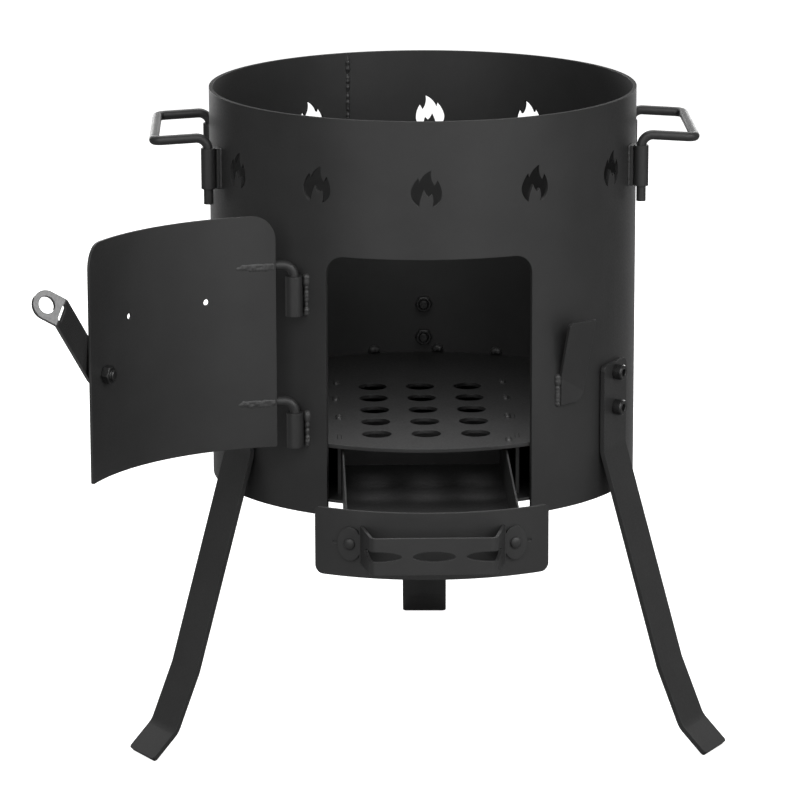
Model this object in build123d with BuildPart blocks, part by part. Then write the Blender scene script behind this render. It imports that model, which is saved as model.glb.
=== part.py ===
from build123d import *
import os
from math import atan, cos, degrees, pi, radians, sin

# Cauldron stove: a rolled steel drum on three bolted legs, with a fire door, a pull-out ash drawer
# and two lift-out carry handles. Millimetres, +Z up, +Y away from the fire door.
# The origin is on the drum's axis, on the floor. Azimuths are degrees from the door side (-Y),
# positive towards +X, as seen from above.

# Drum
drum_diameter = 360.0
drum_wall = 3.0
drum_height = 332.0
drum_floor_clearance = 211.0
plate_fit = 0.3

# Doorway, cut out of the drum from its bottom edge up
doorway_half_angle = 27.9
doorway_height = 218.6
doorway_corner_radius = 16.0

# Flame-shaped smoke vents under the rim
vent_count = 12
vent_pitch = 29.5
vent_turn = -0.9
vent_height = 30.0
vent_width = 25.0
vent_base_height = 262.0

# Drum floor and fire grate
floor_thickness = 2.5
floor_height = 10.8
grate_thickness = 3.0
grate_height = 57.0
grate_hole_diameter = 24.4
grate_hole_columns = 3
grate_hole_rows = 5
grate_column_pitch = 41.0
grate_row_pitch = 42.0
grate_pattern_x = -1.3
grate_pattern_y = -40.0

# Guide plates that carry the grate and steer the ash drawer
guide_thickness = 3.0
guide_spacing = 147.0
guide_front = -142.0
guide_rear = 75.0
guide_tab_length = 14.0
guide_tab_centres = (60.0, 0.0, -65.0, -133.0)
tab_clearance = 0.2

# Legs: flat bar, bolted to the drum through two holes
front_leg_turn = 59.0
rear_leg_turn = 178.0
leg_width = 40.0
leg_thickness = 4.0
leg_top_height = 113.0
leg_bend_height = 40.0
leg_upper_angle = 17.0
leg_upper_drop = 179.6
leg_lower_angle = 23.4
leg_lower_drop = 47.9
foot_angle = 46.8
leg_bend_radius = 18.0
leg_corner_radius = 5.0
foot_corner_radius = 3.0
leg_seat = 0.05
leg_bolt_heights = (104.5, 74.5)

# M8 socket-head cap screws and nuts for the legs
leg_bolt_diameter = 8.0
leg_bolt_hole = 8.6
leg_head_diameter = 13.0
leg_head_height = 8.0
leg_socket_width = 6.0
leg_socket_depth = 4.0
leg_nut_width = 13.0
leg_nut_height = 6.5
leg_nut_gap = 0.3
bolt_end = 2.5
thread_clearance = 0.05

# Fire door: a rolled sheet that laps over the doorway
door_gap = 1.2
door_thickness = 2.0
door_half_angle = 31.15
door_bottom_height = 59.1
door_top_height = 252.4
door_top_radius = 20.0
door_bottom_radius = 2.0
door_opening = 141.2
door_hole_diameter = 5.0
door_hole_azimuth = 12.4
door_hole_height = 184.5

# Hinges: bent rods on the door that drop into tubes on the drum
hinge_rod_diameter = 8.0
hinge_rod_gap = 0.3
hinge_rod_start = -20.5
hinge_bend_azimuth = -33.15
hinge_bend_radius = 9.0
hinge_running_gap = 0.08
hinge_tube_diameter = 14.0
hinge_rod_heights = (209.8, 95.9)
hinge_tube_tops = (200.5, 86.0)
hinge_tube_lengths = (33.0, 29.0)
hinge_rod_inset = 2.0

# Latch lever with a finger ring, on an M8 pivot screw through the door
pivot_azimuth = 23.4
pivot_height = 144.0
pivot_diameter = 8.0
pivot_running_gap = 0.08
pivot_seat = 0.15
pivot_washer_diameter = 16.0
pivot_washer_height = 3.0
pivot_head_width = 13.0
pivot_head_height = 5.3
pivot_nut_height = 6.5
lever_gap = 0.3
lever_width = 23.6
lever_thickness = 3.0
lever_pad_length = 9.0
lever_set = 8.0
lever_length = 102.0
lever_raised_angle = 40.7
ring_angle = 46.0
ring_centre_length = 14.4
ring_hole_diameter = 13.9
ring_slot_length = 14.4
ring_slot_width = 4.4
lever_bend_radius = 4.0

# Latch catch: a tab welded to the drum, folded outwards on the slant into a wedge
catch_azimuth = 40.6
catch_width = 25.8
catch_thickness = 3.0
catch_bottom_height = 89.0
catch_fold_left = 112.0
catch_fold_right = 97.0
catch_flare = 16.0
catch_top_height = 162.0
catch_corner = 6.0
catch_seat = 0.05

# Ash drawer
drawer_pull = 169.0
drawer_shift = -3.5
front_gap = 0.3
front_thickness = 2.5
front_half_angle = 30.2
front_bottom_height = -1.0
front_top_height = 53.0
front_bottom_radius = 7.0
front_top_radius = 3.5
front_slit_length = 30.4
front_slit_width = 2.2
front_slit_depth = 1.5
pan_width = 136.0
pan_length = 298.0
pan_sheet = 1.5
pan_lift = 0.4
pan_top_height = 53.6
pan_notch_depth = 9.0
pan_notch_height = 14.0

# Drawer handle: a flat strip with round ends, bent out from the drawer front
grip_spacing_azimuth = 20.6
grip_width = 29.6
grip_thickness = 2.5
grip_pad_length = 20.0
grip_pad_width = 27.2
grip_pad_neck = 8.3
grip_pad_inset = 10.6
grip_standoff = 28.0
grip_half_length = 47.2
grip_bend_radius = 3.2
grip_centre_height = 26.3
grip_slot_length = 33.0
grip_slot_width = 8.0
grip_side_slot_length = 41.0
grip_side_slot_offset = 45.7
grip_seat = 0.1
grip_screw_diameter = 5.0
grip_head_diameter = 9.5
grip_head_height = 3.2
grip_nut_width = 8.0
grip_nut_height = 4.0
grip_nut_gap = 0.2

# Carry handles: bent rod dropped into two tubes on each side of the drum
carry_rod_diameter = 8.0
carry_running_gap = 0.08
carry_tube_diameter = 12.0
carry_socket_x = 180.2
carry_socket_y = 60.0
carry_tube_length = 34.0
carry_tube_drop = 42.2
carry_pin_below = 13.0
carry_arm_drop = 33.0
carry_reach = 45.0
carry_droop = 3.5
carry_pin_bend = 9.5
carry_corner_bend = 7.0
socket_pad_width = 10.0
socket_pad_seat = 0.1

# Worked-out sizes
outer_radius = drum_diameter / 2
inner_radius = outer_radius - drum_wall
rim_z = drum_floor_clearance + drum_height
plate_radius = inner_radius - plate_fit
floor_top = drum_floor_clearance + floor_height + floor_thickness
grate_bottom = drum_floor_clearance + grate_height
grate_top = grate_bottom + grate_thickness
door_inner_radius = outer_radius + door_gap
door_outer_radius = door_inner_radius + door_thickness
hinge_rod_radius = door_outer_radius + hinge_rod_gap + hinge_rod_diameter / 2
front_inner_radius = outer_radius + front_gap
front_outer_radius = front_inner_radius + front_thickness
reach = 2 * drum_diameter


def height(above_drum_edge):
    """The z of a height measured up from the drum's bottom edge."""
    return drum_floor_clearance + above_drum_edge


def outward(azimuth):
    """The level direction away from the drum's axis."""
    return Vector(sin(radians(azimuth)), -cos(radians(azimuth)), 0)


def sideways(azimuth):
    """The level direction along the drum's wall, to the right as seen from outside."""
    return Vector(cos(radians(azimuth)), sin(radians(azimuth)), 0)


def at(azimuth, radius, z):
    """A point by its azimuth, its distance from the drum's axis and its height."""
    return outward(azimuth) * radius + Vector(0, 0, z)


def wall_plane(azimuth, radius, z):
    """A plane that faces out of the drum: x to the right as seen from outside, y up."""
    return Plane(origin=at(azimuth, radius, z), x_dir=sideways(azimuth), z_dir=outward(azimuth))


def radial_plane(azimuth):
    """An upright plane through the drum's axis: x outwards, y up."""
    return Plane(origin=(0, 0, 0), x_dir=outward(azimuth), z_dir=sideways(azimuth) * -1)


def ring_sector(inner, outer, half_angle):
    """Draws the plan of a rolled sheet on the door side of the drum."""
    Circle(outer)
    Circle(inner, mode=Mode.SUBTRACT)
    left = outward(-half_angle) * reach
    right = outward(half_angle) * reach
    Polygon((0, 0), (left.X, left.Y), (right.X, right.Y), align=None, mode=Mode.INTERSECT)


def radial_corners(part, azimuth, z):
    """The short edges through a rolled sheet's wall at one azimuth and height."""
    through = Axis(origin=(0, 0, 0), direction=outward(azimuth))
    corner = at(azimuth, outer_radius, z)
    return [part.edges().filter_by(through).sort_by_distance(corner)[0]]


def end_corners(part, thickness, end_point):
    """The two short edges through a flat bar at the end nearest to a point."""
    through = part.edges().filter_by(lambda edge: abs(edge.length - thickness) < 0.01)
    return through.sort_by_distance(end_point)[:2]


def flame_outline():
    """Draws one flame, open at its foot around a smaller flame that stays in the sheet."""
    w = vent_width / 2
    h = vent_height
    ThreePointArc((-0.47 * w, 0.01 * h), (-0.89 * w, 0.2 * h), (-w, 0.43 * h))
    ThreePointArc((-w, 0.43 * h), (-0.83 * w, 0.62 * h), (-0.53 * w, 0.79 * h))
    Line((-0.53 * w, 0.79 * h), (-0.45 * w, 0.67 * h))
    ThreePointArc((-0.45 * w, 0.67 * h), (-0.2 * w, 0.85 * h), (0.33 * w, h))
    ThreePointArc((0.33 * w, h), (0.3 * w, 0.83 * h), (0.53 * w, 0.59 * h))
    Line((0.53 * w, 0.59 * h), (0.72 * w, 0.73 * h))
    ThreePointArc((0.72 * w, 0.73 * h), (0.94 * w, 0.53 * h), (w, 0.33 * h))
    ThreePointArc((w, 0.33 * h), (0.81 * w, 0.12 * h), (0.4 * w, 0.01 * h))
    ThreePointArc((0.4 * w, 0.01 * h), (0.46 * w, 0.19 * h), (0.36 * w, 0.35 * h))
    Line((0.36 * w, 0.35 * h), (0.17 * w, 0.27 * h))
    ThreePointArc((0.17 * w, 0.27 * h), (-0.01 * w, 0.35 * h), (-0.13 * w, 0.47 * h))
    ThreePointArc((-0.13 * w, 0.47 * h), (-0.36 * w, 0.24 * h), (-0.47 * w, 0.01 * h))


def cap_screw(seat, shank_length):
    """A socket-head cap screw: its head stands on the seat plane, its shank goes in below."""
    with BuildPart() as screw:
        with BuildSketch(seat):
            Circle(leg_head_diameter / 2)
        extrude(amount=leg_head_height)
        with BuildSketch(seat.offset(leg_head_height)):
            RegularPolygon(leg_socket_width / 2, 6, major_radius=False)
        extrude(amount=-leg_socket_depth, mode=Mode.SUBTRACT)
        with BuildSketch(seat):
            Circle(leg_bolt_diameter / 2)
        extrude(amount=-shank_length)
    return screw.part


def hex_nut(seat, width, thickness, bore):
    """A hexagon nut whose near face lies on the seat plane and which stands up from it."""
    with BuildPart() as nut:
        with BuildSketch(seat):
            RegularPolygon(width / 2, 6, major_radius=False)
            Circle(bore / 2, mode=Mode.SUBTRACT)
        extrude(amount=thickness)
    return nut.part


def bent_rod(path, diameter):
    """A round rod along straight runs and bends: each run is extruded and each bend revolved."""
    with BuildPart() as rod:
        for run in path.edges():
            with BuildSketch(Plane(origin=run @ 0, z_dir=run % 0)):
                Circle(diameter / 2)
            if run.geom_type == GeomType.LINE:
                extrude(amount=run.length)
            else:
                bend_axis = Axis(origin=run.arc_center, direction=(run % 0).cross(run % 1))
                revolve(axis=bend_axis, revolution_arc=degrees(run.length / run.radius))
    return rod.part


def save(part, name):
    """Writes one finished piece under its node name."""
    part.label = name
    export_step(part, f"parts/{name}.step")


os.makedirs("parts", exist_ok=True)

leg_turns = {"leg_left": -front_leg_turn, "leg_right": front_leg_turn, "leg_rear": rear_leg_turn}


# Drum shell: a rolled tube with the doorway, the vents and the leg bolt holes
with BuildPart() as drum_shell:
    with BuildSketch(Plane.XY.offset(drum_floor_clearance)):
        Circle(outer_radius)
        Circle(inner_radius, mode=Mode.SUBTRACT)
    extrude(amount=drum_height)
    with BuildSketch(Plane.XY.offset(drum_floor_clearance)):
        ring_sector(inner_radius - 1, outer_radius + 1, doorway_half_angle)
    extrude(amount=doorway_height, mode=Mode.SUBTRACT)
    doorway_top = height(doorway_height)
    doorway_corners = radial_corners(drum_shell.part, -doorway_half_angle, doorway_top)
    doorway_corners += radial_corners(drum_shell.part, doorway_half_angle, doorway_top)
    fillet(doorway_corners, doorway_corner_radius)
    for k in range(vent_count):
        turn = vent_turn + (k - vent_count // 2 + 1) * vent_pitch
        with BuildSketch(wall_plane(turn, outer_radius + 1, height(vent_base_height))):
            with BuildLine():
                flame_outline()
            make_face()
        extrude(amount=-(drum_wall + 3), mode=Mode.SUBTRACT)
    for turn in leg_turns.values():
        for bolt_height in leg_bolt_heights:
            with BuildSketch(wall_plane(turn, outer_radius + 1, height(bolt_height))):
                Circle(leg_bolt_hole / 2)
            extrude(amount=-(drum_wall + 2), mode=Mode.SUBTRACT)
save(drum_shell.part, "drum_shell")


# Drum floor: the plate that the ash drawer slides on
with BuildPart() as drum_floor:
    with BuildSketch(Plane.XY.offset(height(floor_height))):
        Circle(plate_radius)
    extrude(amount=floor_thickness)
save(drum_floor.part, "drum_floor")


# Fire grate: a round plate with air holes, slotted for the tabs of the guide plates
guide_centre_x = guide_spacing / 2
with BuildPart() as fire_grate:
    with BuildSketch(Plane.XY.offset(grate_bottom)):
        Circle(plate_radius)
        with Locations((grate_pattern_x, grate_pattern_y)):
            with GridLocations(grate_column_pitch, grate_row_pitch, grate_hole_columns, grate_hole_rows):
                Circle(grate_hole_diameter / 2, mode=Mode.SUBTRACT)
        slot_places = [(side * guide_centre_x, y) for side in (-1, 1) for y in guide_tab_centres]
        with Locations(*slot_places):
            Rectangle(
                guide_thickness + 2 * tab_clearance,
                guide_tab_length + 2 * tab_clearance,
                mode=Mode.SUBTRACT,
            )
    extrude(amount=grate_thickness)
save(fire_grate.part, "fire_grate")


# Guide plates: upright between the floor and the grate, with tabs up through the grate's slots
for name, side in (("drawer_guide_left", -1), ("drawer_guide_right", 1)):
    with BuildPart() as drawer_guide:
        with BuildSketch(Plane.YZ.offset(side * guide_centre_x)):
            with Locations(((guide_front + guide_rear) / 2, (floor_top + grate_bottom) / 2)):
                Rectangle(guide_rear - guide_front, grate_bottom - floor_top)
            with Locations(*[(y, grate_bottom + grate_thickness / 2) for y in guide_tab_centres]):
                Rectangle(guide_tab_length, grate_thickness)
        extrude(amount=guide_thickness / 2, both=True)
    save(drawer_guide.part, name)


# Legs: flat bar that runs down the drum's wall, splays outwards and ends in a bent foot
leg_face = outer_radius + leg_seat + leg_thickness
foot_tip_z = leg_thickness * sin(radians(foot_angle))
foot_drop = height(leg_bend_height) - leg_upper_drop - leg_lower_drop - foot_tip_z
leg_run = [Vector(leg_face, height(leg_top_height)), Vector(leg_face, height(leg_bend_height))]
for angle, drop in (
    (leg_upper_angle, leg_upper_drop),
    (leg_lower_angle, leg_lower_drop),
    (foot_angle, foot_drop),
):
    leg_run.append(leg_run[-1] + Vector(drop * sin(radians(angle)) / cos(radians(angle)), -drop))

for name, turn in leg_turns.items():
    with BuildPart() as leg:
        with BuildSketch(radial_plane(turn)):
            with BuildLine():
                FilletPolyline(*leg_run, radius=leg_bend_radius)
                offset(amount=leg_thickness, side=Side.RIGHT)
            make_face()
        extrude(amount=leg_width / 2, both=True)
        leg_side = radial_plane(turn)
        for end, corner_radius in ((leg_run[0], leg_corner_radius), (leg_run[-1], foot_corner_radius)):
            leg_end = leg_side.from_local_coords(end)
            fillet(end_corners(leg.part, leg_thickness, leg_end), corner_radius)
        for bolt_height in leg_bolt_heights:
            with BuildSketch(wall_plane(turn, leg_face + 1, height(bolt_height))):
                Circle(leg_bolt_hole / 2)
            extrude(amount=-(leg_thickness + 2), mode=Mode.SUBTRACT)
    save(leg.part, name)


# Leg screws and nuts: two to each leg
nut_face = inner_radius - leg_nut_gap
screw_length = leg_face - nut_face + leg_nut_height + bolt_end
nut_bore = leg_bolt_diameter + 2 * thread_clearance
bolt_places = [(turn, height(level)) for turn in leg_turns.values() for level in leg_bolt_heights]
screw_seats = [wall_plane(turn, leg_face, z) for turn, z in bolt_places]
nut_seats = [wall_plane(turn, nut_face - leg_nut_height, z) for turn, z in bolt_places]
with BuildPart() as leg_screws:
    add([cap_screw(seat, screw_length) for seat in screw_seats])
save(leg_screws.part, "leg_screws")

with BuildPart() as leg_nuts:
    add([hex_nut(seat, leg_nut_width, leg_nut_height, nut_bore) for seat in nut_seats])
save(leg_nuts.part, "leg_nuts")


# Hinge axis: straight down from the end of the rods' bend
bend_start = at(hinge_bend_azimuth, hinge_rod_radius, 0)
hinge_foot = bend_start - sideways(hinge_bend_azimuth) * hinge_bend_radius
hinge_axis = Axis(origin=(hinge_foot.X, hinge_foot.Y, 0), direction=(0, 0, 1))


def open_door(part):
    """Swings a piece drawn with the door shut to the door's rest opening."""
    return part.rotate(hinge_axis, -door_opening)


# Hinge tubes: upright on the drum's wall, with a running bore for the rods
hinge_bore = hinge_rod_diameter + 2 * hinge_running_gap
for name, tube_top, tube_length in zip(
    ("hinge_tube_upper", "hinge_tube_lower"), hinge_tube_tops, hinge_tube_lengths
):
    with BuildPart() as hinge_tube:
        with BuildSketch(Plane(origin=(hinge_foot.X, hinge_foot.Y, height(tube_top)))):
            Circle(hinge_tube_diameter / 2)
            Circle(hinge_bore / 2, mode=Mode.SUBTRACT)
        extrude(amount=-tube_length)
    save(hinge_tube.part, name)


# Hinge rods: along the door's outer face, round a bend and down into the tube
for name, rod_height, tube_top, tube_length in zip(
    ("hinge_rod_upper", "hinge_rod_lower"), hinge_rod_heights, hinge_tube_tops, hinge_tube_lengths
):
    rod_z = height(rod_height)
    rod_start = at(hinge_rod_start, hinge_rod_radius, rod_z)
    rod_middle = at((hinge_rod_start + hinge_bend_azimuth) / 2, hinge_rod_radius, rod_z)
    rod_bend = at(hinge_bend_azimuth, hinge_rod_radius, rod_z)
    bend_end = Vector(hinge_foot.X, hinge_foot.Y, rod_z - hinge_bend_radius)
    rod_end = Vector(hinge_foot.X, hinge_foot.Y, height(tube_top - tube_length + hinge_rod_inset))
    with BuildLine() as rod_path:
        ThreePointArc(rod_start, rod_middle, rod_bend)
        TangentArc(rod_bend, bend_end, tangent=sideways(hinge_bend_azimuth) * -1)
        Line(bend_end, rod_end)
    save(open_door(bent_rod(rod_path.wire(), hinge_rod_diameter)), name)


# Fire door: rolled sheet with rounded top corners, two air holes and the pivot hole
with BuildPart() as fire_door:
    with BuildSketch(Plane.XY.offset(height(door_bottom_height))):
        ring_sector(door_inner_radius, door_outer_radius, door_half_angle)
    extrude(amount=door_top_height - door_bottom_height)
    for level, corner_radius in (
        (door_top_height, door_top_radius),
        (door_bottom_height, door_bottom_radius),
    ):
        corners = radial_corners(fire_door.part, -door_half_angle, height(level))
        corners += radial_corners(fire_door.part, door_half_angle, height(level))
        fillet(corners, corner_radius)
    for turn in (-door_hole_azimuth, door_hole_azimuth):
        with BuildSketch(wall_plane(turn, door_outer_radius + 1, height(door_hole_height))):
            Circle(door_hole_diameter / 2)
        extrude(amount=-(door_thickness + 2), mode=Mode.SUBTRACT)
    with BuildSketch(wall_plane(pivot_azimuth, door_outer_radius + 1, height(pivot_height))):
        Circle(pivot_diameter / 2 + pivot_running_gap)
    extrude(amount=-(door_thickness + 2), mode=Mode.SUBTRACT)
save(open_door(fire_door.part), "fire_door")


# Pivot screw, its spacer washer and the nut inside the door
washer_face = door_outer_radius + pivot_seat
lever_back = washer_face + pivot_washer_height + lever_gap / 2
lever_front = lever_back + lever_thickness
pivot_head_seat = lever_front + lever_gap / 2
pivot_nut_face = door_inner_radius - pivot_seat
pivot_bore = pivot_diameter / 2 + pivot_running_gap

with BuildPart() as latch_pivot_washer:
    with BuildSketch(wall_plane(pivot_azimuth, washer_face, height(pivot_height))):
        Circle(pivot_washer_diameter / 2)
        Circle(pivot_bore, mode=Mode.SUBTRACT)
    extrude(amount=pivot_washer_height)
save(open_door(latch_pivot_washer.part), "latch_pivot_washer")

with BuildPart() as latch_pivot_screw:
    with BuildSketch(wall_plane(pivot_azimuth, pivot_head_seat, height(pivot_height))):
        RegularPolygon(pivot_head_width / 2, 6, major_radius=False)
    extrude(amount=pivot_head_height)
    with BuildSketch(wall_plane(pivot_azimuth, pivot_head_seat, height(pivot_height))):
        Circle(pivot_diameter / 2)
    extrude(amount=-(pivot_head_seat - pivot_nut_face + pivot_nut_height + bolt_end))
save(open_door(latch_pivot_screw.part), "latch_pivot_screw")

pivot_nut_seat = wall_plane(pivot_azimuth, pivot_nut_face - pivot_nut_height, height(pivot_height))
pivot_nut_bore = pivot_diameter + 2 * thread_clearance
latch_pivot_nut = hex_nut(pivot_nut_seat, pivot_head_width, pivot_nut_height, pivot_nut_bore)
save(open_door(latch_pivot_nut), "latch_pivot_nut")


# Latch lever, drawn level and then raised: a flat strip set in towards the drum,
# with its end bent out again into a finger ring
pivot_point = at(pivot_azimuth, lever_back, height(pivot_height))
pivot_axis = Axis(origin=pivot_point, direction=outward(pivot_azimuth))
lever_side = Plane(
    origin=pivot_point, x_dir=sideways(pivot_azimuth), z_dir=sideways(pivot_azimuth).cross(outward(pivot_azimuth))
)
lever_half = lever_width / 2
set_end = Vector(lever_pad_length, 0)
arm_run = lever_length - lever_pad_length
ring_bend = set_end + Vector(cos(radians(lever_set)), -sin(radians(lever_set))) * arm_run
ring_tilt = ring_angle - lever_set
ring_way = Vector(cos(radians(ring_tilt)), sin(radians(ring_tilt)))
ring_end = ring_bend + ring_way * (ring_centre_length + lever_half)
ring_centre = ring_bend + ring_way * ring_centre_length
lever_up = Vector(0, 0, 1)


def lever_plane(place, way):
    """A plane on the lever's outer face: x along the strip, z out of it."""
    side = lever_side.x_dir * way.X + outward(pivot_azimuth) * way.Y
    return Plane(origin=lever_side.from_local_coords(place), x_dir=side, z_dir=side.cross(lever_up))


with BuildPart() as latch_lever:
    with BuildSketch(lever_side):
        with BuildLine():
            FilletPolyline((-lever_half, 0), set_end, ring_bend, ring_end, radius=lever_bend_radius)
            offset(amount=lever_thickness, side=Side.LEFT)
        make_face()
    extrude(amount=lever_half, both=True)
    for end in (Vector(-lever_half, 0), ring_end):
        lever_end = lever_side.from_local_coords(end)
        fillet(end_corners(latch_lever.part, lever_thickness, lever_end), lever_half - 0.05)
    with BuildSketch(wall_plane(pivot_azimuth, lever_back - 1, height(pivot_height))):
        Circle(pivot_bore)
    extrude(amount=lever_thickness + 2, mode=Mode.SUBTRACT)
    with BuildSketch(lever_plane(ring_centre, ring_way)):
        Circle(ring_hole_diameter / 2)
    extrude(amount=2 * lever_thickness, both=True, mode=Mode.SUBTRACT)
    with BuildSketch(lever_plane(ring_bend, ring_way)):
        SlotOverall(ring_slot_length, ring_slot_width, rotation=90)
    extrude(amount=2 * lever_thickness, both=True, mode=Mode.SUBTRACT)
save(open_door(latch_lever.part.rotate(pivot_axis, lever_raised_angle)), "latch_lever")


# Latch catch: the tab lies on the drum, the wing leans out from a slanting fold
tab_face = outer_radius + catch_seat
catch_half = catch_width / 2
tab_plane = wall_plane(catch_azimuth, tab_face, drum_floor_clearance)
fold_left = Vector(-catch_half, catch_fold_left)
fold_right = Vector(catch_half, catch_fold_right)
fold_way = (fold_right - fold_left).normalized()
fold_rise = Vector(-fold_way.Y, fold_way.X)
fold_axis = Axis(
    origin=tab_plane.from_local_coords(fold_left),
    direction=tab_plane.x_dir * fold_way.X + tab_plane.y_dir * fold_way.Y,
)

with BuildPart() as catch_wing:
    with BuildSketch(tab_plane):
        Polygon(
            fold_left,
            fold_right,
            (catch_half, catch_top_height),
            (-catch_half + catch_corner / 2, catch_top_height),
            (-catch_half, catch_top_height - catch_corner / 2),
            align=None,
        )
    extrude(amount=catch_thickness)

with BuildPart() as latch_catch:
    with BuildSketch(tab_plane):
        Polygon(
            fold_left,
            fold_right,
            (catch_half, catch_bottom_height + catch_corner),
            (catch_half - catch_corner, catch_bottom_height),
            (-catch_half, catch_bottom_height),
            align=None,
        )
    extrude(amount=catch_thickness)
    add(catch_wing.part.rotate(fold_axis, catch_flare))
save(latch_catch.part, "latch_catch")


# Ash drawer, drawn shut and then pulled out
def pull_drawer(part):
    """Moves a piece drawn with the drawer shut to the drawer's rest place."""
    return part.moved(Location((drawer_shift, -drawer_pull, 0)))


pan_bottom = floor_top + pan_lift
pan_top = height(pan_top_height)
pan_middle = -front_inner_radius + pan_length / 2
grip_z = height(grip_centre_height)
with BuildPart() as ash_pan:
    with BuildSketch(Plane.XY.offset(pan_bottom)):
        with Locations((0, pan_middle)):
            Rectangle(pan_width, pan_length)
        Circle(front_inner_radius - grip_seat, mode=Mode.INTERSECT)
    extrude(amount=pan_top - pan_bottom)
    with BuildSketch(Plane.XY.offset(pan_bottom + pan_sheet)):
        with Locations((0, pan_middle - pan_sheet)):
            Rectangle(pan_width - 2 * pan_sheet, pan_length)
    extrude(amount=pan_top - pan_bottom, mode=Mode.SUBTRACT)
    with BuildSketch(Plane.YZ):
        with Locations((-front_inner_radius * cos(radians(grip_spacing_azimuth)), grip_z)):
            Rectangle(2 * pan_notch_depth, pan_notch_height)
    extrude(amount=pan_width, both=True, mode=Mode.SUBTRACT)
save(pull_drawer(ash_pan.part), "ash_pan")

with BuildPart() as drawer_front:
    with BuildSketch(Plane.XY.offset(height(front_bottom_height))):
        ring_sector(front_inner_radius, front_outer_radius, front_half_angle)
    extrude(amount=front_top_height - front_bottom_height)
    for level, corner_radius in (
        (front_top_height, front_top_radius),
        (front_bottom_height, front_bottom_radius),
    ):
        corners = radial_corners(drawer_front.part, -front_half_angle, height(level))
        corners += radial_corners(drawer_front.part, front_half_angle, height(level))
        fillet(corners, corner_radius)
    for turn in (-grip_spacing_azimuth, grip_spacing_azimuth):
        with BuildSketch(wall_plane(turn, front_outer_radius + 1, height(grip_centre_height))):
            SlotOverall(front_slit_length, front_slit_width)
        extrude(amount=-(1 + front_slit_depth), mode=Mode.SUBTRACT)
        with BuildSketch(wall_plane(turn, front_outer_radius + 1, height(grip_centre_height))):
            Circle(grip_screw_diameter / 2 + thread_clearance)
        extrude(amount=-(front_thickness + 2), mode=Mode.SUBTRACT)
save(pull_drawer(drawer_front.part), "drawer_front")


# Drawer handle: its outline is drawn from above, its slots are cut square to each stretch and
# its oval pads are notched where they meet the legs
pad_face = front_outer_radius + grip_seat
grip_face_y = -(front_outer_radius + grip_standoff)
pad_centre = outward(grip_spacing_azimuth) * pad_face
pad_way = sideways(grip_spacing_azimuth)
pad_outer = pad_centre + pad_way * (grip_pad_length / 2 + 1)
pad_inner = pad_centre - pad_way * grip_pad_inset
grip_corner = Vector(grip_half_length, grip_face_y)
grip_right = [grip_corner, pad_inner, pad_outer]
grip_left = [Vector(-p.X, p.Y) for p in reversed(grip_right)]
leg_way = (Vector(pad_inner.X, pad_inner.Y) - grip_corner).normalized()
slot_fold = grip_half_length - grip_side_slot_offset
slot_start = grip_corner - leg_way * slot_fold

with BuildPart() as drawer_handle:
    with BuildSketch(Plane.XY.offset(grip_z)):
        with BuildLine():
            FilletPolyline(*grip_left, *grip_right, radius=grip_bend_radius)
            offset(amount=grip_thickness, side=Side.RIGHT)
        make_face()
    extrude(amount=grip_width / 2, both=True)
    for side in (-1, 1):
        turn = side * grip_spacing_azimuth
        with BuildSketch(wall_plane(turn, pad_face - 1, grip_z)):
            with Locations((side * (grip_pad_length - grip_pad_neck), 0)):
                Rectangle(2 * grip_pad_length, 2 * grip_width)
            Ellipse(grip_pad_length / 2, grip_pad_width / 2, mode=Mode.SUBTRACT)
        extrude(amount=grip_thickness + 2, mode=Mode.SUBTRACT)
        with BuildSketch(wall_plane(turn, pad_face - 1, grip_z)):
            Circle(grip_screw_diameter / 2 + thread_clearance)
        extrude(amount=grip_thickness + 2, mode=Mode.SUBTRACT)
        slot_way = Vector(side * leg_way.X, leg_way.Y)
        slot_origin = Vector(side * slot_start.X, slot_start.Y, grip_z)
        with BuildSketch(Plane(origin=slot_origin, x_dir=slot_way, z_dir=slot_way.cross(Vector(0, 0, 1)))):
            Ellipse(grip_side_slot_length / 2, grip_slot_width / 2)
            with Locations((slot_fold - grip_side_slot_length, 0)):
                Rectangle(2 * grip_side_slot_length, grip_width, mode=Mode.SUBTRACT)
        extrude(amount=1.5 * grip_thickness, both=True, mode=Mode.SUBTRACT)
    with BuildSketch(Plane.XZ.offset(-grip_face_y)):
        with Locations((0, grip_z)):
            Ellipse(grip_slot_length / 2, grip_slot_width / 2)
        with Locations((-grip_side_slot_offset, grip_z), (grip_side_slot_offset, grip_z)):
            Ellipse(grip_side_slot_length / 2, grip_slot_width / 2)
    extrude(amount=1.5 * grip_thickness, both=True, mode=Mode.SUBTRACT)
save(pull_drawer(drawer_handle.part), "drawer_handle")

grip_seats = [wall_plane(side * grip_spacing_azimuth, 0, grip_z) for side in (-1, 1)]
grip_nut_face = front_inner_radius - grip_nut_gap
with BuildPart() as drawer_handle_screws:
    for seat in grip_seats:
        head_seat = seat.offset(pad_face + grip_thickness + grip_seat)
        with BuildSketch(head_seat):
            Circle(grip_head_diameter / 2)
        extrude(amount=grip_head_height)
        with BuildSketch(head_seat):
            Circle(grip_screw_diameter / 2)
        extrude(amount=-(pad_face + grip_thickness - grip_nut_face + grip_nut_height + bolt_end))
save(pull_drawer(drawer_handle_screws.part), "drawer_handle_screws")

grip_nut_seats = [seat.offset(grip_nut_face - grip_nut_height) for seat in grip_seats]
grip_nut_bore = grip_screw_diameter + 2 * thread_clearance
with BuildPart() as drawer_handle_nuts:
    add([hex_nut(seat, grip_nut_width, grip_nut_height, grip_nut_bore) for seat in grip_nut_seats])
save(pull_drawer(drawer_handle_nuts.part), "drawer_handle_nuts")


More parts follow.
